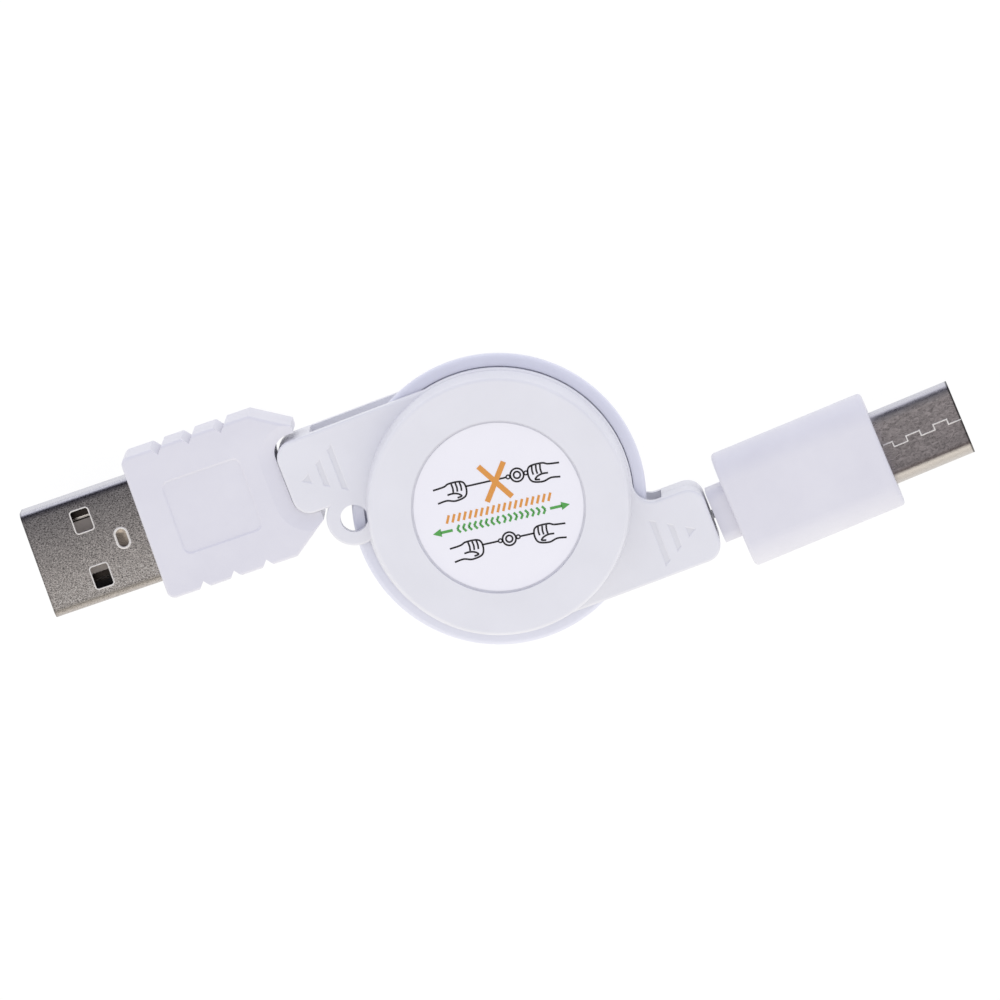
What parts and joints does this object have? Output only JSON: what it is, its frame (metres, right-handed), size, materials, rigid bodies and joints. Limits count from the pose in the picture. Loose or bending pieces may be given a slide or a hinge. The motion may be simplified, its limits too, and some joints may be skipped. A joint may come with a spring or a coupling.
{
  "type": "retractable charging cable",
  "caption": "White reel with a flat ribbon that pulls out both ways: a wide plug on one arm, a small rounded plug on the other.",
  "frame": {"origin": "the reel's axis on the flat back face that it lies on", "axes": "+X along the case from the wide plug to the small plug, +Z out of the labelled face"},
  "size_m": [0.0992, 0.0356, 0.0146],
  "materials": {
    "case_white": "moulded, fine satin",
    "spool_white": "moulded, fine satin",
    "label_film": "printed film",
    "screw_steel": "zinc plated",
    "ball_steel": "ground and polished",
    "spring_steel": "rolled strip",
    "ribbon_white": "extruded",
    "shell_nickel": "nickel plated sheet",
    "insulator_black": "moulded",
    "contact_gold": "gold flash",
    "wire_cover": "extruded",
    "inner_mould": "moulded",
    "mould_white": "moulded, fine satin",
    "housing_black": "moulded",
    "latch_steel": "stamped",
    "board_green": "solder resist",
    "chip_black": "ceramic chip"
  },
  "bodies": {
    "case": {"front_cover": "case_white", "rear_cover": "case_white", "label": "label_film", "cover_screw": "screw_steel", "mainspring": "spring_steel"},
    "spool": {"spool": "spool_white", "cable_coil": "ribbon_white"},
    "lock_ball": {"lock_ball": "ball_steel"},
    "plug_a": {"a_shell": "shell_nickel", "a_insulator": "insulator_black", "a_contacts": "contact_gold", "a_wires": "wire_cover", "a_core": "inner_mould", "a_overmould": "mould_white", "lead_a": "ribbon_white"},
    "plug_c": {"c_shell": "shell_nickel", "c_housing": "housing_black", "c_contacts_upper": "contact_gold", "c_contacts_lower": "contact_gold", "c_latch": "latch_steel", "c_board": "board_green", "c_resistor": "chip_black", "c_wires": "wire_cover", "c_core": "inner_mould", "c_overmould": "mould_white", "lead_c": "ribbon_white"}
  },
  "joints": [
    {"name": "plug_a_pull", "type": "slide", "parent": "case", "child": "plug_a", "axis": [-0.9996, 0.0297, 0], "range_m": [0, 0.32], "stiffness_N_per_m": 2, "springref_m": -0.5, "deforming": ["lead_a"]},
    {"name": "plug_c_pull", "type": "slide", "parent": "case", "child": "plug_c", "axis": [0.9994, 0.034, 0], "range_m": [-0.001, 0.321], "deforming": ["lead_c"]},
    {"name": "spool_turn", "type": "hinge", "parent": "case", "child": "spool", "pos_m": [0, 0, 0.0073], "axis": [0, 0, 1], "range_deg": [-2, 1802], "deforming": ["mainspring"]},
    {"name": "lock_ball_slide", "type": "slide", "parent": "case", "child": "lock_ball", "axis": [1, 0, 0], "range_m": [0, 0.00295]}
  ],
  "couplings": [
    {"joint": "plug_c_pull", "follows": "plug_a_pull", "ratio": 1},
    {"joint": "spool_turn", "follows": "plug_a_pull", "rad_per_m": 98.175}
  ]
}
